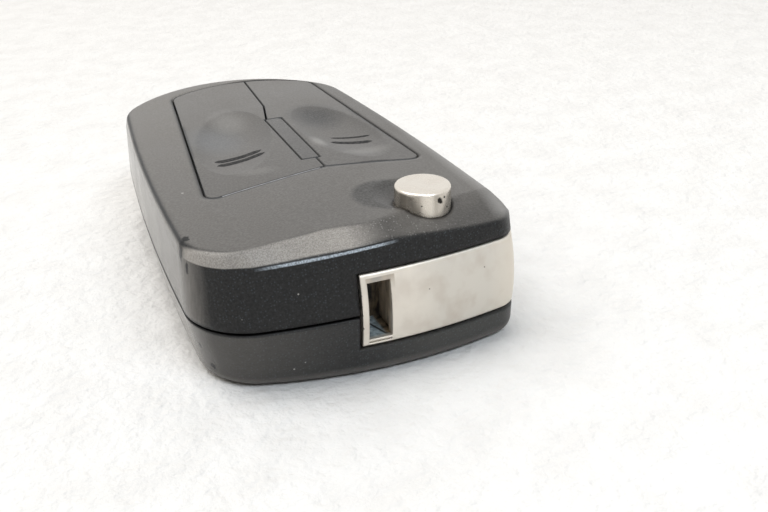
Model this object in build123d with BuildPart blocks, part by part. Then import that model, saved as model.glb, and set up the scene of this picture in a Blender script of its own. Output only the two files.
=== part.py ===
# Folding car remote key: a two-part plastic housing with two keys and a light bar,
# a spring-loaded metal hub that carries a milled key blade, and the electronics inside.
# Millimetres. The key lies flat on its lower shell: +Z is up, the metal hub is at the front (-Y),
# and the blade folds along the right side (+X). The origin is under the middle of the housing.
from build123d import *
from math import radians, tan
import os

os.makedirs("parts", exist_ok=True)

# Housing outline, seen from above at the parting line
front_left_x = -18.9
middle_left_x = -19.28
rear_left_x = -17.6
front_right_x = 19.5
middle_right_x = 19.15
rear_right_x = 16.8
front_corner_y = -31.2
middle_y = -10.0
rear_corner_y = 24.5
front_apex = (0.1, -33.5)
rear_apex = (0.5, 33.5)
front_left_radius = 8.0
front_right_radius = 3.4
rear_radius = 8.0

# Housing heights
parting_height = 8.2
crown_height = 17.3
shoulder_drop = 2.3
crown_radius = 320.0
parting_groove_height = 0.36
parting_groove_depth = 0.5

# How far each level lies inside the parting outline:
# left side, right side, front left corner, front apex, front right corner, rear
bottom_insets = (1.3, 0.1, 2.9, 0.5, 0.4, 1.3)
shoulder_insets = (0.25, 0.4, 1.1, 1.1, 1.0, 0.9)
top_insets = (0.45, 2.1, 1.7, 1.7, 1.7, 2.6)

# Walls and edges
wall = 1.4
floor_thickness = 1.4
roof_thickness = 1.9
bottom_edge_radius = 1.8
top_edge_radius = 0.7

# Bevel along the front edge of the top face, steep at the left and shallow in front of the button:
# the x and y of its lower edge at each section, how far that lies below the crown, and its angle there
bevel_places = (
    (-30.0, -22.0, 3.3),
    (-15.2, -30.3, 2.55),
    (-12.7, -31.4, 2.15),
    (-9.7, -31.8, 2.0),
    (-4.0, -32.1, 1.6),
    (0.5, -32.2, 1.15),
    (6.5, -32.0, 1.45),
    (16.4, -30.8, 2.25),
    (30.0, -28.5, 3.3),
)
bevel_angles = (74.0, 74.0, 56.0, 43.0, 27.5, 23.0, 19.0, 19.0, 19.0)
bevel_reach_front = 4.0
bevel_reach_rear = 12.0

# Hub and its pivot
pivot_x = 8.9
pivot_y = -26.3
hub_below_parting = 4.1
hub_below_crown = 4.45
hub_left_x = -1.4
hub_swing_radius = 12.6
hub_upper_taper = 0.45
hub_lower_taper = 0.2
hub_edge_radius = 0.35
hub_disc_radius = 8.4
hub_arm_rear_y = -27.3
hub_block_left_x = 7.9
hub_block_rear_y = -16.0
hub_floor_thickness = 1.5
hub_cup_radius = 5.1
swing_clearance = 0.25
bay_wall = 1.2
clearance_above_hub = 0.25
clearance_below_hub = 0.45
thrust_clearance = 0.12

# Window at the left end of the hub's arm
window_left_x = -0.7
window_width = 2.75
window_sill = 0.85
window_height = 6.9
window_frame_depth = 1.3
window_pocket_depth = 5.0
window_step = 0.35
window_reach = 1.0
slit_drop = 0.5
slit_height = 0.22
slit_depth = 0.5

# Journal, guide post, release button and spring
journal_radius = 2.0
journal_clearance = 0.08
journal_reach = 0.6
thrust_boss_radius = 4.4
guide_width = 2.6
guide_reach = 0.4
guide_clearance = 0.1
button_radius = 3.25
button_clearance = 0.16
button_rise = 2.0
button_rim_radius = 0.35
button_travel = 1.9
flange_radius = 4.9
flange_thickness = 1.4
flange_clearance = 0.3
lug_radius = 5.6
lug_width = 2.0
lug_clearance = 0.2
spring_wire = 0.8
spring_radius = 4.2
spring_turns = 4

# Scoop round the button
scoop_x = 9.4
scoop_y = -23.8
scoop_radius = 5.5
scoop_depth = 0.8

# Blade, its milled track and its pin
blade_thickness = 2.6
blade_width = 8.2
blade_outer_x = 17.0
blade_tip_y = 24.0
blade_tip_taper = 3.4
blade_tip_width = 3.6
blade_edge_chamfer = 0.35
blade_slot_clearance = 0.4
tang_width = 5.0
tang_front_y = -20.4
tang_clearance = 0.05
pin_radius = 0.8
pin_wall = 0.28
pin_gap = 0.4
pin_y = -18.2
pin_inset = 0.375
track_width = 2.2
track_depth = 0.55
track_start_y = -11.0
track_pitch = 3.1
track_flat = 1.7
track_step = 0.55
track_steps = (1, 2, 0, 1, 3, 2, 0, 2, 1, 3, 1)
track_middle_step = 1.5

# Keypad: outline, seams, keys and finger dishes
key_seam = 0.28
key_front_left = (-13.9, -15.9)
key_front_apex = (2.2, -11.7)
key_front_right = (14.9, -13.6)
key_rear_right = (12.4, 25.4)
key_rear_apex = (1.1, 29.2)
key_rear_left = (-9.9, 25.4)
key_corner_radius = 1.5
key_rear_corner_radius = 3.0
center_seam_places = ((0.6, 9.3), (1.9, 15.3), (2.7, 32.0))
key_flange = 0.8
key_flange_thickness = 0.7
key_flange_clearance = 0.12
key_travel = 0.4
dish_length_radius = 98.0
dish_width_radius = 18.0
lock_dish_x = -6.2
lock_dish_y = 2.4
lock_dish_depth = 0.8
lock_dish_slope = -0.28
unlock_dish_x = 8.9
unlock_dish_y = 0.8
unlock_dish_depth = 0.7
unlock_dish_slope = 0.12
lock_x = -6.3
lock_y = -1.5
unlock_x = 8.8
unlock_y = 1.6

# Light bar
bar_left_x = 0.45
bar_width = 2.15
bar_front_y = -8.0
bar_length = 17.0
bar_corner_radius = 0.7
bar_foot_length = 2.0

# Circuit board and what stands on it
board_depth = 4.5
board_thickness = 1.0
board_clearance = 0.4
switch_width = 4.6
switch_height = 1.5
plunger_radius = 0.85
plunger_clearance = 0.1
plunger_depth = 0.6
pad_thickness = 0.7
pad_width = 8.0
pad_length = 9.0
pad_corner_radius = 1.5
chip_width = 6.4
chip_length = 5.2
chip_height = 1.3
chip_x = -7.0
chip_y = 15.5
resonator_width = 5.0
resonator_length = 3.6
resonator_height = 1.4
resonator_x = 8.2
resonator_y = 15.5
lamp_width = 0.9
lamp_length = 1.6
lamp_height = 0.8
lamp_y = 0.5
coil_radius = 1.5
coil_winding_radius = 1.25
coil_length = 11.0
coil_end_length = 0.8
coil_x = -12.2
coil_y = -22.5
small_part_width = 0.8
small_part_length = 1.6
small_part_height = 0.6
small_part_spacing = 2.4
small_part_count = 4
small_parts_x = -6.6
small_parts_y = 9.6

# Coin cell, its cradle and its contacts
cell_radius = 10.0
cell_thickness = 3.2
cell_x = -5.2
cell_y = 4.0
cell_gap = 1.1
cell_cap_step = 0.8
cell_cap_height = 0.5
cell_edge_radius = 0.4
cradle_clearance = 0.3
cradle_wall = 1.0
cradle_grip = 1.4
contact_thickness = 0.25
contact_width = 3.0
contact_foot = 2.4
contact_slant = 3.0
contact_grip = 2.0

# Ribs beside and under the blade, and posts that carry the board
channel_wall = 1.1
rib_thickness = 1.0
rib_count = 4
rib_spacing = 8.0
rib_first_y = -5.5
post_radius = 1.3
post_places = ((-15.4, -18.5), (-13.3, 21.0))
post_pin_radius = 0.7
post_pin_clearance = 0.1
post_pin_length = 7.5
short_pin_place = (15.2, 19.0)

# Sizes that follow from the ones above
far = 60.0
no_insets = (0.0, 0.0, 0.0, 0.0, 0.0, 0.0)
groove_half = parting_groove_height / 2
shoulder_height = crown_height - shoulder_drop
roof_underside = crown_height - roof_thickness
hub_bottom = parting_height - hub_below_parting
hub_top = crown_height - hub_below_crown
window_bottom = hub_bottom + window_sill
bay_radius = hub_swing_radius + swing_clearance
bay_wall_radius = bay_radius + bay_wall
bay_bottom = hub_bottom - clearance_below_hub
bay_top = hub_top + clearance_above_hub
hub_floor_top = hub_bottom + hub_floor_thickness
journal_top = hub_floor_top + journal_reach
guide_top = bay_top + guide_reach
button_top = crown_height + button_rise
blade_inner_x = blade_outer_x - blade_width
blade_x = blade_outer_x - blade_width / 2
blade_bottom = (hub_bottom + hub_top - blade_thickness) / 2
blade_top = blade_bottom + blade_thickness
slot_inner_x = blade_inner_x - blade_slot_clearance
slot_bottom = blade_bottom - blade_slot_clearance
slot_top = blade_top + blade_slot_clearance
slot_rear_y = blade_tip_y + 3 * blade_slot_clearance
board_bottom = roof_underside - board_depth
board_top = board_bottom + board_thickness
switch_top = board_top + switch_height
key_underside = roof_underside - key_flange_clearance - key_flange_thickness
pad_underside = key_underside - pad_thickness
bar_right_x = bar_left_x + bar_width
bar_rear_y = bar_front_y + bar_length
flange_top = bay_top - flange_clearance
flange_bottom = flange_top - flange_thickness
cell_top = board_bottom - cell_gap
cell_bottom = cell_top - cell_thickness
cradle_rim = cell_bottom + cradle_grip


def housing_level(height, insets, inward=0.0):
    """The housing's outline at one height, drawn as four arcs with rounded corners."""
    left, right, corner_left, apex, corner_right, rear = (inset + inward for inset in insets)
    front_left = (front_left_x + left, front_corner_y + corner_left)
    front_right = (front_right_x - right, front_corner_y + corner_right)
    rear_right = (rear_right_x - right, rear_corner_y - rear)
    rear_left = (rear_left_x + left, rear_corner_y - rear)
    with BuildSketch(Plane.XY.offset(height)) as level:
        with BuildLine():
            ThreePointArc(front_left, (front_apex[0], front_apex[1] + apex), front_right)
            ThreePointArc(front_right, (middle_right_x - right, middle_y), rear_right)
            ThreePointArc(rear_right, (rear_apex[0], rear_apex[1] - rear), rear_left)
            ThreePointArc(rear_left, (middle_left_x + left, middle_y), front_left)
        make_face()
        corner_radii = (
            (front_left, front_left_radius - inward),
            (front_right, front_right_radius - inward),
            (rear_right, rear_radius - inward),
            (rear_left, rear_radius - inward),
        )
        for corner, radius in corner_radii:
            fillet(level.vertices().sort_by_distance(corner)[0], radius=radius)
    return level.sketch


def between(start, end, share):
    """Insets at a share of the way from one level to another."""
    return tuple(a + (b - a) * share for a, b in zip(start, end))


def keypad_outline(height, grow=0.0):
    """The opening for both keys, seen from above."""
    with BuildSketch(Plane.XY.offset(height)) as opening:
        with BuildLine():
            Polyline(key_rear_left, key_front_left, key_front_apex, key_front_right, key_rear_right)
            ThreePointArc(key_rear_right, key_rear_apex, key_rear_left)
        make_face()
        for corner in (key_front_left, key_front_right):
            fillet(opening.vertices().sort_by_distance(corner)[0], radius=key_corner_radius)
        for corner in (key_rear_left, key_rear_right):
            fillet(opening.vertices().sort_by_distance(corner)[0], radius=key_rear_corner_radius)
        if grow != 0:
            offset(amount=grow)
    return opening.sketch


def key_share(height, side, grow):
    """One key's share of the keypad: side is -1 for the left key and 1 for the right one."""
    half_seam = side * key_seam / 2
    front_x = key_front_apex[0] + half_seam
    bar_x = bar_left_x - key_seam if side < 0 else bar_right_x + key_seam
    rear_places = [(x + half_seam, y) for x, y in center_seam_places]
    with BuildSketch(Plane.XY.offset(height)) as share:
        add(keypad_outline(height, grow))
        with BuildLine():
            Polyline(
                (side * far, -far),
                (front_x, -far),
                (front_x, bar_front_y - key_seam),
                (bar_x, bar_front_y - key_seam),
                (bar_x, rear_places[0][1]),
                *rear_places,
                (side * far, rear_places[-1][1]),
                close=True,
            )
        make_face(mode=Mode.INTERSECT)
    return share.sketch


def bevel_section(x, edge_y, drop, angle):
    """What is cut away above the front bevel, in one plane across the key."""
    slope = tan(radians(angle))
    edge_z = crown_height - drop
    foot = (edge_y - bevel_reach_front, edge_z - bevel_reach_front * slope)
    head = (edge_y + bevel_reach_rear, edge_z + bevel_reach_rear * slope)
    with BuildSketch(Plane.YZ.offset(x)) as section:
        with BuildLine():
            Polyline(foot, head, (head[0], far), (foot[0], far), close=True)
        make_face()
    return section.sketch


def swing_room(bottom, top, clearance):
    """A round body about the pivot, widest at the parting and tapered above and below it."""
    levels = (
        (bottom, hub_swing_radius - hub_lower_taper),
        (parting_height, hub_swing_radius),
        (top, hub_swing_radius - hub_upper_taper),
    )
    circles = []
    for height, radius in levels:
        with BuildSketch(Plane.XY.offset(height)) as circle:
            with Locations((pivot_x, pivot_y)):
                Circle(radius + clearance)
        circles.append(circle.sketch)
    with BuildPart() as room:
        loft(sections=circles, ruled=True)
    return room.part


# Outer form of the upper shell, closed, with its crown, front bevel and scoop
with BuildPart() as bevel_cutter:
    bevel_edges = zip(bevel_places, bevel_angles)
    loft(sections=[bevel_section(*edge, angle) for edge, angle in bevel_edges], ruled=True)

with BuildPart() as upper_form:
    shoulder_level = housing_level(shoulder_height, shoulder_insets)
    loft(sections=[housing_level(parting_height + groove_half, no_insets), shoulder_level])
    loft(sections=[shoulder_level, housing_level(crown_height, top_insets)])
    with BuildSketch(Plane.XZ) as crown:
        with Locations((0, crown_height - crown_radius)):
            Circle(crown_radius)
    extrude(amount=far, both=True, mode=Mode.INTERSECT)
    fillet(upper_form.faces().sort_by(Axis.Z)[-1].edges(), radius=top_edge_radius)
    add(bevel_cutter.part, mode=Mode.SUBTRACT)
    scoop_ball_radius = (scoop_radius**2 + scoop_depth**2) / (2 * scoop_depth)
    with Locations((scoop_x, scoop_y, crown_height - scoop_depth + scoop_ball_radius)):
        Sphere(scoop_ball_radius, mode=Mode.SUBTRACT)

# Upper shell: hollow behind the hub's bay, with a solid bearing roof over the hub
with BuildPart() as upper_hollow:
    loft(
        sections=[
            housing_level(parting_height, no_insets, wall),
            housing_level(roof_underside, shoulder_insets, wall),
        ]
    )
    with BuildSketch(Plane.XY) as bearing_roof:
        with Locations((pivot_x, pivot_y)):
            Circle(bay_wall_radius)
    extrude(amount=far, mode=Mode.SUBTRACT)

with BuildPart() as top_shell:
    add(upper_form.part)
    lip = housing_level(parting_height, no_insets, parting_groove_depth)
    extrude(lip, amount=groove_half)
    add(upper_hollow.part, mode=Mode.SUBTRACT)
    add(swing_room(bay_bottom, bay_top, swing_clearance), mode=Mode.SUBTRACT)
    with BuildSketch(Plane.XY.offset(parting_height)) as upper_slot:
        with Locations((slot_inner_x, pivot_y)):
            Rectangle(far, slot_rear_y - pivot_y, align=(Align.MIN, Align.MIN))
    extrude(amount=slot_top - parting_height, mode=Mode.SUBTRACT)
    with BuildSketch(Plane.XY.offset(bay_top)) as button_bore:
        with Locations((pivot_x, pivot_y)):
            Circle(button_radius + button_clearance)
    extrude(amount=far, mode=Mode.SUBTRACT)
    extrude(keypad_outline(roof_underside), amount=far, mode=Mode.SUBTRACT)
    recess_bottom = key_underside - key_travel - key_flange_clearance
    recess = keypad_outline(recess_bottom, key_flange + key_flange_clearance)
    extrude(recess, amount=roof_underside - recess_bottom, mode=Mode.SUBTRACT)
    with BuildSketch(Plane.XY.offset(roof_underside)) as post_pins:
        with Locations(*post_places):
            Circle(post_pin_radius)
    extrude(amount=-post_pin_length)
    with BuildSketch(Plane.XY.offset(roof_underside)) as short_pin:
        with Locations(short_pin_place):
            Circle(post_pin_radius)
    extrude(amount=-board_depth)
top_shell.part.label = "top_shell"
export_step(top_shell.part, "parts/top_shell.step")

# Lower shell: bay floor with the journal and guide post, cradle for the cell, blade channel
with BuildPart() as lower_hollow:
    floor_insets = between(bottom_insets, no_insets, floor_thickness / parting_height)
    loft(
        sections=[
            housing_level(floor_thickness, floor_insets, wall),
            housing_level(parting_height, no_insets, wall),
        ]
    )
    with BuildSketch(Plane.XY) as bay_ring:
        with Locations((pivot_x, pivot_y)):
            Circle(bay_wall_radius)
            Circle(bay_radius, mode=Mode.SUBTRACT)
    extrude(amount=far, mode=Mode.SUBTRACT)

with BuildPart() as bottom_shell:
    loft(
        sections=[
            housing_level(0, bottom_insets),
            housing_level(parting_height - groove_half, no_insets),
        ]
    )
    fillet(bottom_shell.faces().sort_by(Axis.Z)[0].edges(), radius=bottom_edge_radius)
    lip = housing_level(parting_height - groove_half, no_insets, parting_groove_depth)
    extrude(lip, amount=groove_half)
    add(lower_hollow.part, mode=Mode.SUBTRACT)
    add(swing_room(bay_bottom, bay_top, swing_clearance), mode=Mode.SUBTRACT)
    with BuildSketch(Plane.XY.offset(floor_thickness)) as channel:
        with Locations((slot_inner_x, pivot_y + bay_radius)):
            Rectangle(channel_wall, slot_rear_y - pivot_y - bay_radius, align=(Align.MAX, Align.MIN))
    extrude(amount=parting_height - floor_thickness)
    with BuildSketch(Plane.XY.offset(floor_thickness)) as ribs:
        for number in range(rib_count):
            with Locations((slot_inner_x, rib_first_y + number * rib_spacing)):
                Rectangle(far, rib_thickness, align=(Align.MIN, Align.CENTER))
        make_face(housing_level(0, floor_insets, wall / 2).edges(), mode=Mode.INTERSECT)
    extrude(amount=slot_bottom - floor_thickness)
    with BuildSketch(Plane.XY.offset(slot_bottom)) as lower_slot:
        with Locations((slot_inner_x, pivot_y)):
            Rectangle(far, slot_rear_y - pivot_y, align=(Align.MIN, Align.MIN))
    extrude(amount=far, mode=Mode.SUBTRACT)
    with BuildSketch(Plane.XY.offset(floor_thickness)) as thrust_boss:
        with Locations((pivot_x, pivot_y)):
            Circle(thrust_boss_radius)
    extrude(amount=hub_bottom - thrust_clearance - floor_thickness)
    with BuildSketch(Plane.XY.offset(floor_thickness)) as journal:
        with Locations((pivot_x, pivot_y)):
            Circle(journal_radius)
    extrude(amount=journal_top - floor_thickness)
    with BuildSketch(Plane.XY.offset(floor_thickness)) as guide:
        with Locations((pivot_x, pivot_y)):
            Rectangle(guide_width, guide_width)
    extrude(amount=guide_top - floor_thickness)
    with BuildSketch(Plane.XY.offset(floor_thickness)) as cradle:
        with Locations((cell_x, cell_y)):
            Circle(cell_radius + cradle_clearance + cradle_wall)
            Circle(cell_radius + cradle_clearance, mode=Mode.SUBTRACT)
        with Locations((cell_x, cell_y + cell_radius)):
            Rectangle(contact_width + 4 * cradle_clearance, 4 * cradle_wall, mode=Mode.SUBTRACT)
    extrude(amount=cradle_rim - floor_thickness)
    with BuildSketch(Plane.XY.offset(floor_thickness)) as cross:
        with Locations((cell_x, cell_y)):
            Rectangle(2 * cell_radius + cradle_clearance, rib_thickness)
            Rectangle(rib_thickness, 2 * cell_radius)
    extrude(amount=cell_bottom - floor_thickness)
    with BuildSketch(Plane.XY.offset(floor_thickness)) as posts:
        with Locations(*post_places):
            Circle(post_radius)
    extrude(amount=board_bottom - floor_thickness)
    with BuildSketch(Plane.XY.offset(floor_thickness)) as post_holes:
        with Locations(*post_places):
            Circle(post_pin_radius + post_pin_clearance)
    extrude(amount=far, mode=Mode.SUBTRACT)
bottom_shell.part.label = "bottom_shell"
export_step(bottom_shell.part, "parts/bottom_shell.step")


def finger_key(side, dish):
    """One key: a plate that follows the housing's crown, a flange under the roof and a finger dish."""
    dish_x, dish_y, dish_depth, dish_slope = dish
    with BuildPart() as key:
        add(upper_form.part)
        extrude(key_share(key_underside, side, -key_seam), amount=far, mode=Mode.INTERSECT)
        flange = key_share(key_underside, side, key_flange - key_seam)
        extrude(flange, amount=key_flange_thickness)
        surface = crown_radius - (crown_radius**2 - dish_x**2) ** 0.5
        axle_z = crown_height - surface - dish_depth + dish_length_radius
        with Locations(Plane(origin=(dish_x, dish_y, axle_z), x_dir=(0, 0, 1), z_dir=(1, dish_slope, 0))):
            Torus(dish_length_radius - dish_width_radius, dish_width_radius, mode=Mode.SUBTRACT)
    return key.part


def key_pad():
    """The rubber pad glued under a key, drawn at the origin with its top at the key's underside."""
    with BuildPart() as pad:
        with BuildSketch(Plane.XY.offset(pad_underside)):
            RectangleRounded(pad_width, pad_length, pad_corner_radius)
        extrude(amount=pad_thickness)
    return pad.part


def switch_body():
    """A square switch, drawn at the origin on the board's top, with a hole for its plunger."""
    with BuildPart() as body:
        with BuildSketch(Plane.XY.offset(board_top)):
            Rectangle(switch_width, switch_width)
        extrude(amount=switch_height)
        with BuildSketch(Plane.XY.offset(switch_top - plunger_depth - key_travel - plunger_clearance)):
            Circle(plunger_radius + plunger_clearance)
        extrude(amount=switch_height, mode=Mode.SUBTRACT)
    return body.part


def switch_plunger():
    """A switch's plunger, drawn at the origin, from inside the switch up to the key's pad."""
    with BuildPart() as plunger:
        with BuildSketch(Plane.XY.offset(switch_top - plunger_depth)):
            Circle(plunger_radius)
        extrude(amount=pad_underside - switch_top + plunger_depth)
    return plunger.part


# Each key presses its own pad and plunger
lock_dish = (lock_dish_x, lock_dish_y, lock_dish_depth, lock_dish_slope)
unlock_dish = (unlock_dish_x, unlock_dish_y, unlock_dish_depth, unlock_dish_slope)
key_sets = (("lock", -1, lock_x, lock_y, lock_dish), ("unlock", 1, unlock_x, unlock_y, unlock_dish))
for name, side, x, y, dish in key_sets:
    pieces = (
        (name + "_key", finger_key(side, dish)),
        (name + "_key_pad", Pos(x, y) * key_pad()),
        (name + "_switch", Pos(x, y) * switch_body()),
        (name + "_switch_plunger", Pos(x, y) * switch_plunger()),
    )
    for label, piece in pieces:
        piece.label = label
        export_step(piece, f"parts/{label}.step")

# Light bar: a clear guide that stands on the board and ends flush with the top face
with BuildPart() as light_bar:
    with BuildSketch(Plane.XY.offset(board_top)) as bar_outline:
        with Locations((bar_left_x, bar_front_y)):
            Rectangle(bar_width, bar_length, align=(Align.MIN, Align.MIN))
        rear_right = bar_outline.vertices().sort_by_distance((bar_right_x, bar_rear_y))[0]
        fillet(rear_right, radius=bar_corner_radius)
    extrude(amount=far)
    with BuildSketch(Plane.XY.offset(board_top)) as lamp_space:
        with Locations((bar_left_x, bar_front_y + bar_foot_length)):
            Rectangle(bar_width, bar_length - 2 * bar_foot_length, align=(Align.MIN, Align.MIN))
    extrude(amount=key_underside - board_top, mode=Mode.SUBTRACT)
    with BuildSketch(Plane.XZ) as bar_crown:
        with Locations((0, crown_height - crown_radius)):
            Circle(crown_radius)
    extrude(amount=far, both=True, mode=Mode.INTERSECT)
light_bar.part.label = "light_bar"
export_step(light_bar.part, "parts/light_bar.step")

# Hub: a cast block that turns about the journal, with a spring cup and a window in its arm
hub_bottom_insets = between(bottom_insets, no_insets, hub_bottom / parting_height)
hub_top_share = (hub_top - parting_height) / (shoulder_height - parting_height)
hub_top_insets = between(no_insets, shoulder_insets, hub_top_share)
with BuildPart() as blade_hub:
    loft(
        sections=[
            housing_level(hub_bottom, hub_bottom_insets),
            housing_level((hub_bottom + hub_top) / 2, no_insets),
            housing_level(hub_top, hub_top_insets),
        ]
    )
    fillet(blade_hub.faces().sort_by(Axis.Z)[-1].edges(), radius=hub_edge_radius)
    fillet(blade_hub.faces().sort_by(Axis.Z)[0].edges(), radius=hub_edge_radius)
    with BuildSketch(Plane.XY.offset(hub_bottom)) as hub_plan:
        with Locations((pivot_x, pivot_y)):
            Circle(hub_disc_radius)
        with Locations((pivot_x, hub_arm_rear_y)):
            Rectangle(far, far, align=(Align.CENTER, Align.MAX))
        with Locations((hub_block_left_x, hub_block_rear_y)):
            Rectangle(far, far, align=(Align.MIN, Align.MAX))
        with Locations((hub_left_x, 0)):
            Rectangle(far, 2 * far, align=(Align.MIN, Align.CENTER), mode=Mode.INTERSECT)
    extrude(amount=hub_top - hub_bottom, mode=Mode.INTERSECT)
    add(swing_room(hub_bottom, hub_top, 0), mode=Mode.INTERSECT)
    with BuildSketch(Plane.XY.offset(hub_floor_top)) as cup:
        with Locations((pivot_x, pivot_y)):
            Circle(hub_cup_radius)
    extrude(amount=far, mode=Mode.SUBTRACT)
    with BuildSketch(Plane.XY.offset(hub_bottom)) as hub_bore:
        with Locations((pivot_x, pivot_y)):
            Circle(journal_radius + journal_clearance)
    extrude(amount=hub_floor_thickness, mode=Mode.SUBTRACT)
    with BuildSketch(Plane.XY.offset(flange_bottom - button_travel - lug_clearance)) as lug_track:
        with Locations((pivot_x, pivot_y)):
            Circle(lug_radius + lug_clearance)
        with Locations((pivot_x, pivot_y - lug_width / 2 - lug_clearance)):
            Rectangle(far, far, align=(Align.CENTER, Align.MIN), mode=Mode.INTERSECT)
    extrude(amount=far, mode=Mode.SUBTRACT)
    arm_front_y = front_apex[1]
    with BuildSketch(Plane.XZ.offset(window_reach - arm_front_y)) as window:
        with Locations((window_left_x, window_bottom)):
            Rectangle(window_width, window_height, align=(Align.MIN, Align.MIN))
    extrude(amount=-window_pocket_depth - window_reach, mode=Mode.SUBTRACT)
    with BuildSketch(Plane.XZ.offset(-arm_front_y - window_frame_depth)) as window_inside:
        with Locations((window_left_x, window_bottom)):
            Rectangle(window_width + window_step, window_height + window_step, align=(Align.MIN, Align.MIN))
    extrude(amount=-window_pocket_depth + window_frame_depth, mode=Mode.SUBTRACT)
    with BuildSketch(Plane.XZ.offset(window_reach - arm_front_y)) as slit:
        with Locations((window_left_x, window_bottom - slit_drop)):
            Rectangle(window_width, slit_height, align=(Align.MIN, Align.MIN))
    extrude(amount=-slit_depth - window_reach, mode=Mode.SUBTRACT)
    with BuildSketch(Plane.XY.offset(blade_bottom - tang_clearance)) as tang_slot:
        with Locations((blade_x, tang_front_y - tang_clearance)):
            Rectangle(tang_width + 2 * tang_clearance, far, align=(Align.CENTER, Align.MIN))
    extrude(amount=blade_thickness + 2 * tang_clearance, mode=Mode.SUBTRACT)
    with Locations((blade_x, pin_y, hub_bottom)):
        Cylinder(pin_radius, far, mode=Mode.SUBTRACT)
blade_hub.part.label = "blade_hub"
export_step(blade_hub.part, "parts/blade_hub.step")

# Blade: a flat steel bar with a wavy track milled in both faces
track_left = []
for number, step in enumerate(track_steps):
    step_x = blade_x - track_width / 2 + (step - track_middle_step) * track_step
    step_y = track_start_y + number * track_pitch
    track_left.append((step_x, step_y))
    track_left.append((step_x, step_y + track_flat))
track_left.append((track_left[-1][0], blade_tip_y + 1))
track_right = [(x + track_width, y) for x, y in reversed(track_left)]
with BuildPart() as key_blade:
    with BuildSketch(Plane.XY.offset(blade_bottom)) as blade_outline:
        with BuildLine():
            half_tang = tang_width / 2
            half_blade = blade_width / 2
            half_tip = blade_tip_width / 2
            Polyline(
                (blade_x - half_tang, tang_front_y),
                (blade_x + half_tang, tang_front_y),
                (blade_x + half_tang, hub_block_rear_y + tang_clearance),
                (blade_x + half_blade, hub_block_rear_y + tang_clearance),
                (blade_x + half_blade, blade_tip_y - blade_tip_taper),
                (blade_x + half_tip, blade_tip_y),
                (blade_x - half_tip, blade_tip_y),
                (blade_x - half_blade, blade_tip_y - blade_tip_taper),
                (blade_x - half_blade, hub_block_rear_y + tang_clearance),
                (blade_x - half_tang, hub_block_rear_y + tang_clearance),
                close=True,
            )
        make_face()
    extrude(amount=blade_thickness)
    tip_edges = key_blade.edges().filter_by(Axis.Y) + key_blade.edges().filter_by_position(
        Axis.Y, blade_tip_y - blade_tip_taper, blade_tip_y
    )
    long_edges = tip_edges.filter_by(lambda edge: edge.center().Y > hub_block_rear_y + tang_clearance)
    chamfer(long_edges.filter_by(GeomType.LINE).filter_by(Axis.Z, reverse=True), length=blade_edge_chamfer)
    for floor_z, direction in ((blade_top - track_depth, 1), (blade_bottom + track_depth, -1)):
        with BuildSketch(Plane.XY.offset(floor_z)) as track:
            with BuildLine():
                Polyline(*track_left, *track_right, close=True)
            make_face()
        extrude(amount=direction * blade_thickness, mode=Mode.SUBTRACT)
    with Locations((blade_x, pin_y, blade_bottom)):
        Cylinder(pin_radius, far, mode=Mode.SUBTRACT)
key_blade.part.label = "key_blade"
export_step(key_blade.part, "parts/key_blade.step")

# Spring pin through the hub and the blade's tang, a rolled tube with a slit
with BuildPart() as blade_pin:
    with BuildSketch(Plane.XY.offset(hub_bottom + pin_inset)) as pin_section:
        with Locations((blade_x, pin_y)):
            Circle(pin_radius - journal_clearance / 4)
            Circle(pin_radius - pin_wall, mode=Mode.SUBTRACT)
        with Locations((blade_x, pin_y)):
            Rectangle(pin_gap, far, align=(Align.CENTER, Align.MIN), mode=Mode.SUBTRACT)
    extrude(amount=hub_top - hub_bottom - 2 * pin_inset)
blade_pin.part.label = "blade_pin"
export_step(blade_pin.part, "parts/blade_pin.step")

# Release button: barrel through the roof, flange with one lug, square socket over the guide post
with BuildPart() as release_button:
    with BuildSketch(Plane.XY.offset(flange_bottom)) as button_flange:
        with Locations((pivot_x, pivot_y)):
            Circle(flange_radius)
            Rectangle(lug_radius, lug_width, align=(Align.MIN, Align.CENTER))
    extrude(amount=flange_thickness)
    with BuildSketch(Plane.XY.offset(flange_bottom)) as barrel:
        with Locations((pivot_x, pivot_y)):
            Circle(button_radius)
    extrude(amount=button_top - flange_bottom)
    fillet(release_button.faces().sort_by(Axis.Z)[-1].edges(), radius=button_rim_radius)
    with BuildSketch(Plane.XY.offset(flange_bottom)) as socket:
        with Locations((pivot_x, pivot_y)):
            Rectangle(guide_width + 2 * guide_clearance, guide_width + 2 * guide_clearance)
    extrude(amount=guide_top + button_travel + lug_clearance - flange_bottom, mode=Mode.SUBTRACT)
release_button.part.label = "release_button"
export_step(release_button.part, "parts/release_button.step")

# Coil spring between the hub's floor and the button's flange
with BuildPart() as flip_spring:
    coil_height = flange_bottom - hub_floor_top - spring_wire - 2 * tang_clearance
    coil_start = hub_floor_top + spring_wire / 2 + tang_clearance
    with BuildLine() as coil:
        Helix(coil_height / spring_turns, coil_height, spring_radius, center=(pivot_x, pivot_y, coil_start))
    with BuildSketch(Plane(origin=coil.line @ 0, z_dir=coil.line % 0)) as wire:
        Circle(spring_wire / 2)
    sweep(is_frenet=True)
flip_spring.part.label = "flip_spring"
export_step(flip_spring.part, "parts/flip_spring.step")

# Circuit board, cut round the hub's bay
with BuildPart() as circuit_board:
    extrude(housing_level(board_bottom, shoulder_insets, wall + board_clearance), amount=board_thickness)
    with BuildSketch(Plane.XY.offset(board_bottom)) as bay_notch:
        with Locations((pivot_x, pivot_y)):
            Circle(bay_wall_radius + board_clearance)
        with Locations(*post_places, short_pin_place):
            Circle(post_pin_radius + post_pin_clearance)
    extrude(amount=board_thickness, mode=Mode.SUBTRACT)
circuit_board.part.label = "circuit_board"
export_step(circuit_board.part, "parts/circuit_board.step")

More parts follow.
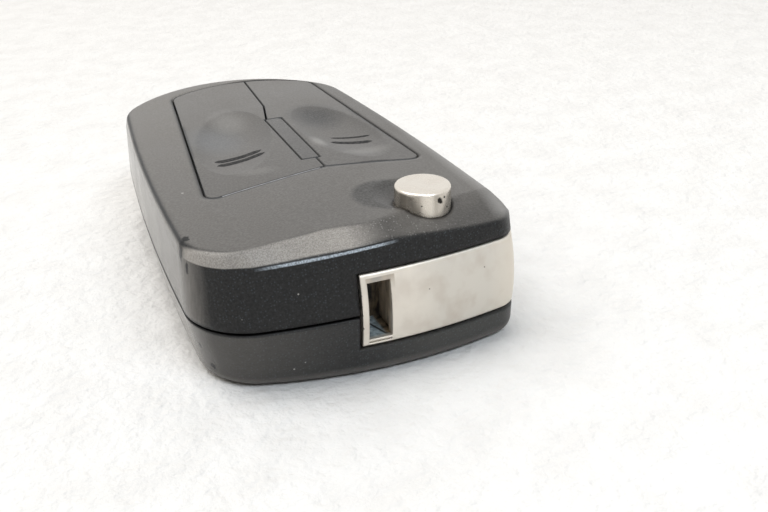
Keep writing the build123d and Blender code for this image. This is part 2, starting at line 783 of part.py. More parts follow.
# Chip and resonator on the board, and the lamp under the light bar
block_sizes = (
    ("transmitter_chip", chip_x, chip_y, chip_width, chip_length, chip_height),
    ("resonator", resonator_x, resonator_y, resonator_width, resonator_length, resonator_height),
    ("indicator_lamp", bar_left_x + bar_width / 2, lamp_y, lamp_width, lamp_length, lamp_height),
)
for label, x, y, width, length, height in block_sizes:
    with BuildPart() as block:
        with BuildSketch(Plane.XY.offset(board_top)):
            with Locations((x, y)):
                Rectangle(width, length)
        extrude(amount=height)
    block.part.label = label
    export_step(block.part, f"parts/{label}.step")

# Small resistors and capacitors in one row
with BuildPart() as small_components:
    with BuildSketch(Plane.XY.offset(board_top)) as component_row:
        with Locations((small_parts_x, small_parts_y)):
            with GridLocations(small_part_spacing, small_part_spacing, small_part_count, 1):
                Rectangle(small_part_width, small_part_length)
    extrude(amount=small_part_height)
small_components.part.label = "small_components"
export_step(small_components.part, "parts/small_components.step")

# Transponder coil: a wound ferrite rod with raised ends, lying on the board
with BuildPart() as transponder_coil:
    with BuildSketch(Plane.YZ.offset(coil_x)) as coil_profile:
        with Locations((coil_y, board_top + coil_radius)):
            Rectangle(coil_length, coil_winding_radius, align=(Align.CENTER, Align.MIN))
            Rectangle(coil_end_length, coil_radius, align=(Align.MIN, Align.MIN))
    revolve(axis=Axis((coil_x, coil_y, board_top + coil_radius), (0, 1, 0)))
transponder_coil.part.label = "transponder_coil"
export_step(transponder_coil.part, "parts/transponder_coil.step")

# Coin cell, its narrower cap towards the board
with BuildPart() as coin_cell:
    with BuildSketch(Plane.XY.offset(cell_bottom)) as can:
        with Locations((cell_x, cell_y)):
            Circle(cell_radius)
    extrude(amount=cell_thickness - cell_cap_height)
    fillet(coin_cell.faces().sort_by(Axis.Z)[0].edges(), radius=cell_edge_radius)
    with BuildSketch(Plane.XY.offset(cell_top - cell_cap_height)) as cap:
        with Locations((cell_x, cell_y)):
            Circle(cell_radius - cell_cap_step)
    extrude(amount=cell_cap_height)
coin_cell.part.label = "coin_cell"
export_step(coin_cell.part, "parts/coin_cell.step")

# Negative contact: a leaf from the board's underside down to the cell's cap
with BuildPart() as negative_contact:
    with BuildSketch(Plane.XZ.offset(-cell_y)) as leaf:
        with BuildLine():
            leaf_start = cell_x - contact_slant
            leaf_end = leaf_start + contact_foot + contact_slant
            Polyline(
                (leaf_start, board_bottom),
                (leaf_start + contact_foot, board_bottom),
                (leaf_end, cell_top + contact_thickness),
                (leaf_end + contact_grip, cell_top + contact_thickness),
                (leaf_end + contact_grip, cell_top),
                (leaf_end - contact_thickness / 2, cell_top),
                (leaf_start + contact_foot - contact_thickness / 2, board_bottom - contact_thickness),
                (leaf_start, board_bottom - contact_thickness),
                close=True,
            )
        make_face()
    extrude(amount=contact_width / 2, both=True)
negative_contact.part.label = "negative_contact"
export_step(negative_contact.part, "parts/negative_contact.step")

# Positive contact: a bent strip from the board's underside down the cell's side
with BuildPart() as positive_contact:
    strip_y = cell_y + cell_radius + tang_clearance
    with BuildSketch(Plane.YZ.offset(cell_x)) as strip:
        with Locations((strip_y, board_bottom)):
            Rectangle(contact_foot, contact_thickness, align=(Align.MIN, Align.MAX))
        with Locations((strip_y, board_bottom)):
            strip_length = board_bottom - cell_bottom - cell_edge_radius
            Rectangle(contact_thickness, strip_length, align=(Align.MIN, Align.MAX))
    extrude(amount=contact_width / 2, both=True)
positive_contact.part.label = "positive_contact"
export_step(positive_contact.part, "parts/positive_contact.step")
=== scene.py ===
# %% [markdown]
# # Folding car remote key
# The imported CAD model already holds every solid at its real size, so this script dresses it: it gives
# each piece its finish, adds the marks on the two keys, a pale strip of painted light in one seam, grime
# and painted shadow in the gap round the button and a copy of the coil spring, and sets up the foam
# sheet, the lamps and the camera. Everything is in metres, with +Z up and the metal hub at -Y. Places and
# small depths are written in mm.

# %% Load the frame
from math import cos, pi, sin
import bmesh
import bpy
from mathutils import Matrix, Vector


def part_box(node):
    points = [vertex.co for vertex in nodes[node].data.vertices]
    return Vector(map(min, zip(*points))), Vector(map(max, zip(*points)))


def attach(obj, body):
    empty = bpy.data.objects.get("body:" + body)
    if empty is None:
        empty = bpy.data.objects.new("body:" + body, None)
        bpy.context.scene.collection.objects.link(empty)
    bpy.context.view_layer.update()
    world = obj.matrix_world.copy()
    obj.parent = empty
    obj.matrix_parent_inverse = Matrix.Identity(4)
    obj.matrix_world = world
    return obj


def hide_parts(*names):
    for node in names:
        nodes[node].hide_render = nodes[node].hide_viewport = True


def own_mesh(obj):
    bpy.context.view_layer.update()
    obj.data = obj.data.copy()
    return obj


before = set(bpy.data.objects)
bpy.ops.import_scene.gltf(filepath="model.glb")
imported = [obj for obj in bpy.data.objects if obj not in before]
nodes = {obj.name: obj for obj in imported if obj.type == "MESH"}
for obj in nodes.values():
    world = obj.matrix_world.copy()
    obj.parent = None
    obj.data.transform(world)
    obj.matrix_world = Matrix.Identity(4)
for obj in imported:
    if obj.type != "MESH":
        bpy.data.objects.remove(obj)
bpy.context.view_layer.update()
mm = 0.001

# %% [markdown]
# ## A material and its nodes
# Every finish below starts from the Principled shader and adds nodes for what makes it look real:
# uneven gloss, grain, dust and wear. The nodes could be placed by hand in the shader editor. A
# helper that makes a node and fills its sockets in one line keeps long trees readable instead.

# %% Material and node
def finish_of(name, color, roughness, metallic=0.0, ior=1.5):
    """A new material with its plain values set, its node tree and its shader."""
    material = bpy.data.materials.new(name)
    material.use_nodes = True
    tree = material.node_tree
    shader = tree.nodes["Principled BSDF"]
    shader.inputs["Base Color"].default_value = (*color, 1.0)
    shader.inputs["Roughness"].default_value = roughness
    shader.inputs["Metallic"].default_value = metallic
    shader.inputs["IOR"].default_value = ior
    material.diffuse_color = (*color, 1.0)
    return material, tree, shader


def node(tree, kind, values=None, **settings):
    """A node of one kind, with its settings and the values of its unlinked sockets."""
    made = tree.nodes.new(kind)
    for setting, value in settings.items():
        setattr(made, setting, value)
    for socket, value in (values or {}).items():
        made.inputs[socket].default_value = value
    return made


print("CAD nodes to dress:", len(nodes))

# %% [markdown]
# ## Numbers that vary over a surface
# A socket can carry a number that differs from place to place. These helpers move such a number from
# one range to another, multiply masks and add numbers. A mask is a number from 0 to 1 that says how
# strongly a layer shows.

# %% Ranges and masks
def ramp(tree, value, low, high, to_low=0.0, to_high=1.0):
    """Maps a value from one range to another, held at the ends."""
    mapped = node(
        tree,
        "ShaderNodeMapRange",
        {"From Min": low, "From Max": high, "To Min": to_low, "To Max": to_high},
    )
    tree.links.new(value, mapped.inputs["Value"])
    return mapped.outputs["Result"]


def weaker(tree, mask, strength):
    """A mask at a lower strength."""
    return ramp(tree, mask, 0.0, 1.0, 0.0, strength)


def product(tree, first, *others):
    """Several masks multiplied together."""
    for other in others:
        both = node(tree, "ShaderNodeMath", operation="MULTIPLY")
        tree.links.new(first, both.inputs[0])
        tree.links.new(other, both.inputs[1])
        first = both.outputs[0]
    return first


def scaled_sum(tree, value, factor, base):
    """A value times a plain factor, added to another value."""
    added = node(tree, "ShaderNodeMath", {1: factor}, operation="MULTIPLY_ADD")
    tree.links.new(value, added.inputs[0])
    tree.links.new(base, added.inputs[2])
    return added.outputs[0]


# %% [markdown]
# ## Colours that blend
# A layer of dirt or wear is a colour blended over the one below it, as strongly as its mask says. The
# two colours may be plain ones or the results of other blends, so many layers can be stacked.

# %% Blends of colour
def mix_color(tree, factor, first, second):
    """Blends two colours, or colour sockets, by a factor socket."""
    mixed = node(tree, "ShaderNodeMix", data_type="RGBA")
    tree.links.new(factor, mixed.inputs["Factor"])
    for color, socket in ((first, mixed.inputs["A"]), (second, mixed.inputs["B"])):
        if isinstance(color, tuple):
            socket.default_value = (*color, 1.0)
        else:
            tree.links.new(color, socket)
    return mixed.outputs["Result"]


def shade(color, share):
    """A colour made darker, or lighter with a share above 1."""
    return tuple(c * share for c in color)


print("white at half its brightness:", shade((1.0, 1.0, 1.0), 0.5))

# %% [markdown]
# ## Patterns
# The pattern coordinates come from the object, in metres, so a noise scale of 5000 means a grain of
# about a fifth of a millimetre. They travel with the piece when it moves, where coordinates of
# the picture would slide over it.

# %% Noise and specks
no_stretch = (1.0, 1.0, 1.0)
upright_lines = (1.0, 1.0, 0.12)


def place(tree):
    """The place on the object, in metres."""
    return node(tree, "ShaderNodeTexCoord").outputs["Object"]


def noise(tree, scale, detail=2.0, stretch=no_stretch):
    """Soft random pattern; scale is its repeats per metre."""
    mapping = node(tree, "ShaderNodeMapping", {"Scale": stretch})
    pattern = node(tree, "ShaderNodeTexNoise", {"Scale": scale, "Detail": detail})
    tree.links.new(place(tree), mapping.inputs["Vector"])
    tree.links.new(mapping.outputs["Vector"], pattern.inputs["Vector"])
    return pattern.outputs["Fac"]


def specks(tree, scale, size, share):
    """1 inside small scattered specks and 0 elsewhere; size is a share of their spacing."""
    cells = node(tree, "ShaderNodeTexVoronoi", {"Scale": scale})
    tree.links.new(place(tree), cells.inputs["Vector"])
    near = ramp(tree, cells.outputs["Distance"], size, size * 0.6)
    chosen = node(tree, "ShaderNodeSeparateColor")
    tree.links.new(cells.outputs["Color"], chosen.inputs["Color"])
    kept = node(tree, "ShaderNodeMath", {1: share}, operation="LESS_THAN")
    tree.links.new(chosen.outputs["Red"], kept.inputs[0])
    return product(tree, near, kept.outputs[0])


print("upright lines are", round(1.0 / upright_lines[2], 1), "times as long as wide")

# %% [markdown]
# ## Masks by place
# Real wear has an address: this corner, that edge. A mask could be painted on an unwrapped picture
# of the surface. Here it is worked out from the place instead, so no picture is needed and
# the mask stays sharp at any size.

# %% Masks by place
def toward(tree, direction):
    """How far a place lies along a direction, in metres."""
    along = node(tree, "ShaderNodeVectorMath", {1: direction}, operation="DOT_PRODUCT")
    tree.links.new(place(tree), along.inputs[0])
    return along.outputs["Value"]


def axis_of(tree, output, axis, low, high):
    """How far a place or a surface direction lies along one axis, from 0 at low to 1 at high."""
    split = node(tree, "ShaderNodeSeparateXYZ")
    tree.links.new(node(tree, "ShaderNodeTexCoord").outputs[output], split.inputs[0])
    return ramp(tree, split.outputs[axis], low, high)


def within(tree, *edges):
    """1 inside all edges, each given as an axis, where its mask starts and where it is full, in mm."""
    masks = [axis_of(tree, "Object", axis, start * mm, full * mm) for axis, start, full in edges]
    return product(tree, *masks)


def away_from(tree, center, stretch=no_stretch):
    """Distance from a place in mm; a stretch above 1 narrows what is drawn with it along that axis."""
    center_in_metres = {1: tuple(c * mm for c in center)}
    apart = node(tree, "ShaderNodeVectorMath", center_in_metres, operation="SUBTRACT")
    scaled = node(tree, "ShaderNodeVectorMath", {1: stretch}, operation="MULTIPLY")
    length = node(tree, "ShaderNodeVectorMath", operation="LENGTH")
    tree.links.new(place(tree), apart.inputs[0])
    tree.links.new(apart.outputs["Vector"], scaled.inputs[0])
    tree.links.new(scaled.outputs["Vector"], length.inputs[0])
    return length.outputs["Value"]


def spot(tree, center, radius, ragged=0.5, stretch=no_stretch):
    """1 inside one ragged spot about a place in mm and 0 outside it."""
    distance = away_from(tree, center, stretch)
    shaken = scaled_sum(tree, noise(tree, 2500.0, 2.0), ragged * radius * mm, distance)
    outer = radius * mm * (1.0 + 0.5 * ragged)
    return ramp(tree, shaken, outer, outer * 0.75)


def patch(tree, center, radius, strength, stretch=no_stretch):
    """A soft-edged patch about a place in mm, at full strength in its middle."""
    distance = away_from(tree, center, stretch)
    return ramp(tree, distance, radius * mm, radius * mm * 0.3, 0.0, strength)


# %% [markdown]
# ## Soft edges, bumps and slots
# The Bevel node averages the direction a surface faces, so that edges look rounded by a small
# radius, and Bump nodes tilt it further for grain. Both change only the shading, which suits
# marks that are a few hundredths of a millimetre deep.

# %% Soft edges, bumps and slots
def softened(tree, radius, samples=8):
    """The direction a surface faces, averaged over a radius in metres."""
    return node(tree, "ShaderNodeBevel", {"Radius": radius}, samples=samples).outputs["Normal"]


def bumps(tree, shader, heights, normal=None):
    """Links bump maps, given as (height socket, depth in metres), over a normal with softened edges."""
    for height, depth in heights:
        bump = node(tree, "ShaderNodeBump", {"Distance": depth, "Strength": 1.0})
        tree.links.new(height, bump.inputs["Height"])
        if normal is not None:
            tree.links.new(normal, bump.inputs["Normal"])
        normal = bump.outputs["Normal"]
    tree.links.new(normal, shader.inputs["Normal"])


def dress(material, *names):
    """Gives CAD nodes a material, in the slots they already have."""
    for name in names:
        mesh = nodes[name].data
        if not mesh.materials:
            mesh.materials.append(material)
        for index in range(len(mesh.materials)):
            mesh.materials[index] = material
    print(material.name, "on", ", ".join(names))


# %% [markdown]
# ## Dirt, wear and painted light on the plastic
# The plastic has four specks of dust and nicks at the left front corner, and the finger dishes carry pale
# and dark patches, which are painted highlights and painted shade. Each is written down with its place,
# its size in mm and, where it isn't round, how it is stretched. The hollows are the two finger dishes,
# whose rims are softer than the other edges of the keys.

# %% Places of dust, nicks and rubbing
dust_spots = (
    ((-8.2, -32.4, 12.0), 0.12),
    ((-15.7, -11.8, 16.9), 0.2),
    ((-9.1, -31.9, 2.5), 0.12),
    ((-7.9, -32.3, 3.3), 0.08),
)
nick_spots = (
    ((-17.9, -24.2, 16.8), 0.36, (0.7, 0.5, 1.0)),
    ((-18.3, -24.6, 16.4), 0.4, (1.0, 0.7, 0.6)),
    ((-18.6, -24.8, 15.6), 0.34, (0.3, 0.6, 0.3)),
    ((-18.6, -26.2, 14.4), 0.22, (0.3, 0.6, 0.25)),
    ((-18.2, -26.6, 4.9), 0.3, (1.0, 1.0, 0.6)),
    ((-17.1, -27.3, 2.3), 0.5, (1.0, 1.0, 1.0)),
)
key_hollows = (
    ((-6.2, 2.4, 17.0), 5.6, (1.0, 0.42, 0.0)),
    ((8.9, 0.8, 17.0), 5.3, (1.0, 0.42, 0.0)),
)
# Painted highlights and painted shade in the finger dishes, each with its place, radius, strength, colour
# and stretch.
painted_dish_light = (
    ((7.6, 8.4, 16.8), 4.8, 0.85, (0.03, 0.03, 0.03), (1.0, 0.8, 1.0)),
    ((-8.0, 5.0, 16.7), 5.0, 0.55, (0.15, 0.158, 0.168), (1.0, 0.8, 1.0)),
    ((4.5, -2.2, 17.1), 1.6, 0.7, (0.27, 0.262, 0.25), (1.3, 0.55, 1.0)),
    ((-4.6, 11.5, 16.9), 3.2, 0.6, (0.225, 0.219, 0.208), (1.0, 0.6, 1.0)),
    ((9.5, -7.6, 17.0), 2.4, 0.45, (0.215, 0.208, 0.196), (0.6, 1.2, 1.0)),
    ((-5.9, -9.6, 16.9), 2.2, 0.4, (0.215, 0.208, 0.196), (0.7, 1.5, 1.0)),
)
print(len(dust_spots), "dust spots,", len(nick_spots), "nicks,", len(painted_dish_light), "rubbed patches")

# %% [markdown]
# ## Wear and painted light of the upper shell
# The front of the upper shell has six layers, each a mask of its own, and most of them are painted light
# and shade. A mask multiplies where the layer lies with how the surface faces there: "facing" holds the
# X, Y and Z of the softened surface direction. The first two are the flat end beside the button, darkened
# as painted shade, and the right edge, lightened as a painted reflection of the pale surroundings.

# %% Right end and right edge
def painted_end_shade(tree, facing):
    """Painted shade on the flat end beside the button, with a ragged front line."""
    ragged_up = scaled_sum(tree, noise(tree, 5500.0, 3.0), 0.22, facing["Z"])
    behind_crease = toward(tree, (-0.625, 1.0, 0.0))
    return product(
        tree,
        ramp(tree, ragged_up, 0.84, 1.03),
        within(tree, ("X", 1.0, 5.0), ("Y", -33.0, -31.2)),
        ramp(tree, behind_crease, -37.8 * mm, -36.2 * mm, 0.3, 0.9),
    )


def painted_edge_reflection(tree, facing):
    """Painted reflection of the pale surroundings on the rounded right edge, from the front corner to the
    middle of the key.
    """
    along_edge = within(tree, ("X", 15.9, 17.8), ("Y", -31.0, -29.0), ("Y", 20.0, -10.0))
    return product(tree, ramp(tree, facing["Z"], 0.1, 0.5), along_edge)


# %% [markdown]
# ## Bevel and slope
# The left part of the bevel along the front is pale, partly from scuffing and partly as a painted
# highlight, with a thin painted highlight in a cool colour just under it. The slope in front of the
# button shows coarse grains, and some of them carry painted glints. The bevel's lower edge isn't level,
# so height is measured from a line that rises with it.

# %% Bevel and slope
def above_rim(tree):
    """Height above a line that rises slowly to the right, as the bevel's lower edge does."""
    return toward(tree, (-0.04, 0.0, 1.0))


def scuffed_bevel_highlight(tree, facing):
    """Pale scuffing and a painted highlight on the left part of the bevel, down to its lower edge."""
    return product(
        tree,
        ramp(tree, facing["Y"], -0.2, -0.36),
        ramp(tree, above_rim(tree), 15.94 * mm, 16.06 * mm),
        within(tree, ("X", 2.8, -2.0)),
        ramp(tree, noise(tree, 6500.0, 3.0), 0.35, 0.65, 0.6, 1.0),
    )


def painted_grain_glints(tree, facing):
    """Painted glints on grains of the slope in front of the button."""
    grains = product(
        tree,
        specks(tree, scale=3600.0, size=0.34, share=0.4),
        within(tree, ("X", 15.0, 9.0)),
        ramp(tree, facing["Y"], -0.12, -0.3),
        ramp(tree, facing["Z"], 0.6, 0.85),
    )
    return weaker(tree, grains, 0.32)


def painted_rim_highlight(tree, facing):
    """A painted highlight: a thin cool line under the bevel, for the reflection of the cool window."""
    height = above_rim(tree)
    return product(
        tree,
        ramp(tree, height, 15.48 * mm, 15.58 * mm),
        ramp(tree, height, 15.86 * mm, 15.78 * mm),
        ramp(tree, facing["Y"], -0.3, -0.5),
        within(tree, ("X", 3.5, 1.0), ("X", -12.5, -9.5)),
        ramp(tree, noise(tree, 5000.0, 2.0), 0.3, 0.7, 0.3, 1.0),
    )


def coarse_grain(tree, facing):
    """Height of the coarser grain on the slope in front of the button."""
    on_slope = ramp(tree, facing["Y"], -0.08, -0.25)
    return product(tree, noise(tree, 3600.0, 2.0), within(tree, ("X", -2.0, 3.0)), on_slope)


# %% [markdown]
# ## Scoop behind the button
# A round mask about a place behind the button paints the scoop there back to the black plastic and leaves
# a dark crescent, painted shade for the button's shadow and its dim reflection.

# %% Scoop behind the button
def button_shade_crescent(tree, wear):
    """Painted shade in the scoop behind the button, for the button's shadow and dim reflection."""
    distance = away_from(tree, (6.2, -22.9, 17.1))
    round_button = ramp(tree, distance, 4.8 * mm, 4.0 * mm, 0.0, 0.78)
    return product(tree, round_button, ramp(tree, wear, 0.2, 0.8, 0.8, 1.0))


# %% [markdown]
# ## Wear and painted light in layers
# Wear and painted light are laid on one thin layer over another: the pale streaks of the left side, then
# what belongs to the upper or the lower shell, and last the faint painted glints on the upright front.
# The order matters, because a later layer covers an earlier one.

# %% Layers of the upper and lower shell
def upper_wear_and_light(tree, haze, facing, wear, color, top_color):
    """The six layers at the front of the upper shell, most of them painted light and shade."""
    layers = (
        (painted_end_shade(tree, facing), shade(top_color, 0.62)),
        (painted_edge_reflection(tree, facing), (0.265, 0.258, 0.248)),
        (scuffed_bevel_highlight(tree, facing), shade(top_color, 2.25)),
        (painted_grain_glints(tree, facing), (0.5, 0.49, 0.48)),
        (painted_rim_highlight(tree, facing), (0.66, 0.74, 0.82)),
        (button_shade_crescent(tree, wear), color),
    )
    for mask, painted in layers:
        haze = mix_color(tree, mask, haze, painted)
    return haze


def lower_floor_reflection(tree, haze, facing, top_color):
    """Painted reflection of the lit floor: the lower shell is paler at the right and where it curves
    under.
    """
    haze = mix_color(tree, within(tree, ("X", -2.0, 7.0)), haze, (0.062, 0.061, 0.058))
    curves_under = ramp(tree, facing["Z"], -0.07, -0.4)
    return mix_color(tree, curves_under, haze, shade(top_color, 0.6))


def shell_wear_and_light(tree, haze, facing, left, wear, color, top_color, shell):
    """All wear and painted light of one shell, from the pale left side to faint painted cool glints on
    the upright front.
    """
    # Pale streaks on the left side, partly scraping and partly a painted reflection of the bright floor.
    streaks = ramp(tree, noise(tree, 2200.0, 3.0, upright_lines), 0.3, 0.7, 0.7, 1.0)
    haze = mix_color(tree, product(tree, left, streaks), haze, shade(top_color, 0.9))
    if shell == "upper":
        haze = upper_wear_and_light(tree, haze, facing, wear, color, top_color)
    else:
        haze = lower_floor_reflection(tree, haze, facing, top_color)
    # Painted cool glints on the upright front.
    grains = specks(tree, scale=3300.0, size=0.36, share=0.5)
    glints = product(tree, grains, ramp(tree, facing["Y"], -0.5, -0.8))
    return mix_color(tree, weaker(tree, glints, 0.07), haze, (0.3, 0.38, 0.45))


# %% [markdown]
# ## Dirt on the plastic
# Over the worn colour lie pale grain tops, a little fluff, the specks of dust and the dark nicks. The
# parting groove between the shells holds no light at all, so its narrow band is painted black.

# %% Dirt and groove
def dirtied(tree, haze, up, dust, spots, nicks):
    """The worn colour with pale grain, fluff, dust, nicks and a black parting groove."""
    grain = ramp(tree, noise(tree, 4200.0, 3.0), 0.38, 0.72, 0.0, 0.1)
    more_on_top = ramp(tree, up, 0.0, 1.0, 0.25, 1.0)
    colored = mix_color(tree, product(tree, grain, more_on_top), haze, (0.6, 0.59, 0.57))
    fluff = specks(tree, scale=420.0, size=0.07, share=dust)
    colored = mix_color(tree, fluff, colored, (0.32, 0.31, 0.29))
    for center, radius in spots:
        colored = mix_color(tree, spot(tree, center, radius), colored, (0.36, 0.35, 0.33))
    for center, radius, stretch in nicks:
        nick = spot(tree, center, radius, 1.2, stretch)
        colored = mix_color(tree, nick, colored, (0.004, 0.004, 0.004))
    in_groove = within(tree, ("Z", 7.97, 8.02), ("Z", 8.41, 8.38))
    return mix_color(tree, in_groove, colored, (0.002, 0.002, 0.002))


# %% [markdown]
# ## Housing plastic
# The shells are moulded in black plastic with a fine spark-eroded grain. Years in a pocket have scuffed
# what faces up, polished the sides, and left pale dust and a few nicks. A flat black would look like ink,
# so the colour follows the way the surface faces: what faces up is a hazy grey, partly scuffing and
# partly painted light on the top, and the gloss varies at three sizes, from palm-sized wear to the grain
# itself.

# %% Worn plastic
def worn_plastic(
    name, color, top_color, roughness, grain_depth, edge, dust,
    shell="", spots=(), nicks=(), dish_light=(), hollows=(),
):
    """Grained black plastic, grey where it faces up from scuffing and painted light, with further painted
    light and shade, uneven polish, dust and nicks.
    """
    material, tree, shader = finish_of(name, color, roughness, ior=1.3)
    surface = softened(tree, edge)
    for center, radius, stretch in hollows:
        near = ramp(tree, away_from(tree, center, stretch), (radius + 0.6) * mm, radius * mm)
        surface = mix_color(tree, near, surface, softened(tree, 0.8 * mm))
    split = node(tree, "ShaderNodeSeparateXYZ")
    tree.links.new(surface, split.inputs[0])
    facing = split.outputs
    up = ramp(tree, facing["Z"], 0.86, 0.995)
    left = ramp(tree, facing["X"], -0.75, -0.95)
    wear = noise(tree, 160.0, 4.0)
    # Painted light on the top: the grey of what faces up, lighter towards the back, is partly scuffing
    # and partly painted light.
    paler_behind = ramp(tree, toward(tree, (-0.5, 1.0, 0.0)), -22.0 * mm, 30.0 * mm, 0.59, 1.0)
    hazy = product(tree, up, paler_behind, ramp(tree, wear, 0.2, 0.8, 0.85, 1.0))
    haze = mix_color(tree, hazy, color, top_color)
    if shell:
        haze = shell_wear_and_light(tree, haze, facing, left, wear, color, top_color, shell)
    else:
        # Steep side walls of the keys and the light bar are painted grey, painted light that keeps the
        # seams round them from reading black.
        haze = mix_color(tree, axis_of(tree, "Normal", "Z", 0.6, 0.3), haze, (0.2, 0.2, 0.2))
    # Painted highlights and painted shade in the finger dishes.
    for center, radius, strength, dish_light_color, stretch in dish_light:
        haze = mix_color(tree, patch(tree, center, radius, strength, stretch), haze, dish_light_color)
    tree.links.new(dirtied(tree, haze, up, dust, spots, nicks), shader.inputs["Base Color"])
    uneven_gloss = ramp(tree, wear, 0.3, 0.7, roughness - 0.05, roughness + 0.06)
    polished_side = 0.13 - roughness
    gloss = scaled_sum(tree, left, polished_side, uneven_gloss)
    tree.links.new(gloss, shader.inputs["Roughness"])
    heights = [(noise(tree, 7000.0, 2.0), grain_depth), (wear, 0.03 * mm)]
    if shell == "upper":
        heights.append((coarse_grain(tree, facing), 0.05 * mm))
    bumps(tree, shader, heights, surface)
    return material


# %% [markdown]
# ## Shells and keys
# The upper shell, the lower shell and the keys come from three moulds, so their grain, gloss and haze
# differ a little. One helper with three sets of numbers keeps them related, as pieces that have aged
# in the same pocket are. The keys have the finest grain.

# %% Housing and key plastic
shell_haze_and_light = (0.184, 0.173, 0.16)
housing_plastic = worn_plastic(
    "housing_plastic",
    color=(0.012, 0.012, 0.0122),
    top_color=shell_haze_and_light,
    roughness=0.36,
    grain_depth=0.024 * mm,
    edge=0.9 * mm,
    dust=0.06,
    shell="upper",
    spots=dust_spots,
    nicks=nick_spots,
)
# The lower shell's greyer black is partly a painted reflection of the lit floor.
lower_plastic = worn_plastic(
    "lower_plastic",
    color=(0.025, 0.0252, 0.0255),
    top_color=shell_haze_and_light,
    roughness=0.38,
    grain_depth=0.016 * mm,
    edge=0.5 * mm,
    dust=0.06,
    shell="lower",
    spots=dust_spots,
    nicks=nick_spots,
)
key_plastic = worn_plastic(
    "key_plastic",
    color=(0.012, 0.012, 0.012),
    top_color=(0.147, 0.138, 0.128),
    roughness=0.33,
    grain_depth=0.006 * mm,
    edge=0.2 * mm,
    dust=0.02,
    dish_light=painted_dish_light,
    hollows=key_hollows,
)
dress(housing_plastic, "top_shell")
dress(lower_plastic, "bottom_shell")
dress(key_plastic, "lock_key", "unlock_key")

# %% [markdown]
# ## Light bar
# Between the keys lies a smoked light guide. It reads almost as dark as the keys until its lamp is
# lit, so it is a slightly smoother black with less haze. A see-through material would look the same
# while the lamp is off, and take longer to render.

# %% Light bar
bar_plastic = worn_plastic(
    "bar_plastic",
    color=(0.02, 0.02, 0.02),
    top_color=(0.11, 0.105, 0.1),
    roughness=0.3,
    grain_depth=0.004 * mm,
    edge=0.1 * mm,
    dust=0.02,
)
dress(bar_plastic, "light_bar")

# %% [markdown]
# ## Window pocket in the hub
# The tall narrow window at the left end of the hub opens into a blind pocket. Grime coats it, partly as
# painted shade of the deep pocket; its right wall has painted light, and its floor is a bluish grey, with
# painted shade at its right side and a painted shadow line where it meets the right wall. A small box of
# place masks picks out the pocket, and direction masks tell wall from floor.

# %% Pocket grime
def pocket_grime_and_light(tree):
    """The mask of the pocket and its colour: grime, with painted light on the right wall and painted
    shade at the floor's right side.
    """
    inside = within(
        tree, ("Y", -33.2, -32.6), ("X", -0.9, -0.7), ("X", 2.6, 2.5), ("Z", 4.8, 4.95), ("Z", 12.4, 12.3)
    )
    crust = ramp(tree, noise(tree, 1100.0, 3.0, (1.0, 1.0, 0.35)), 0.36, 0.66)
    grime = mix_color(tree, crust, (0.015, 0.012, 0.009), (0.3, 0.225, 0.14))
    # Painted light on the right wall, the face that looks left.
    faces_left = axis_of(tree, "Normal", "X", -0.5, -0.9)
    painted_lit_wall = product(tree, faces_left, ramp(tree, crust, 0.0, 1.0, 0.45, 1.0))
    grime = mix_color(tree, painted_lit_wall, grime, (0.62, 0.53, 0.42))
    # The floor colour stops short of the right wall, so the dark grime there is painted shade, and a dark
    # diagonal line along that junction is a painted shadow.
    on_floor = product(tree, axis_of(tree, "Normal", "Z", 0.5, 0.9), within(tree, ("X", 1.7, 1.4)))
    across = toward(tree, (1.0, 0.35, 0.0))
    painted_junction_shadow = product(
        tree,
        ramp(tree, across, -10.15 * mm, -10.0 * mm),
        ramp(tree, across, -9.7 * mm, -9.85 * mm),
    )
    cloudy = ramp(tree, noise(tree, 1800.0, 3.0), 0.35, 0.65)
    floor_color = mix_color(tree, cloudy, (0.42, 0.5, 0.53), (0.18, 0.22, 0.24))
    floor_color = mix_color(tree, painted_junction_shadow, floor_color, (0.02, 0.02, 0.02))
    return inside, mix_color(tree, on_floor, grime, floor_color)


# %% [markdown]
# ## Plated metal
# The hub and the release button wear a thin bright plating. Plating is never quite even: it has cloudy
# stains, tiny dark pits and a few larger marks from knocks. Both pieces come from one helper, because
# only their colours, gloss and sizes differ.

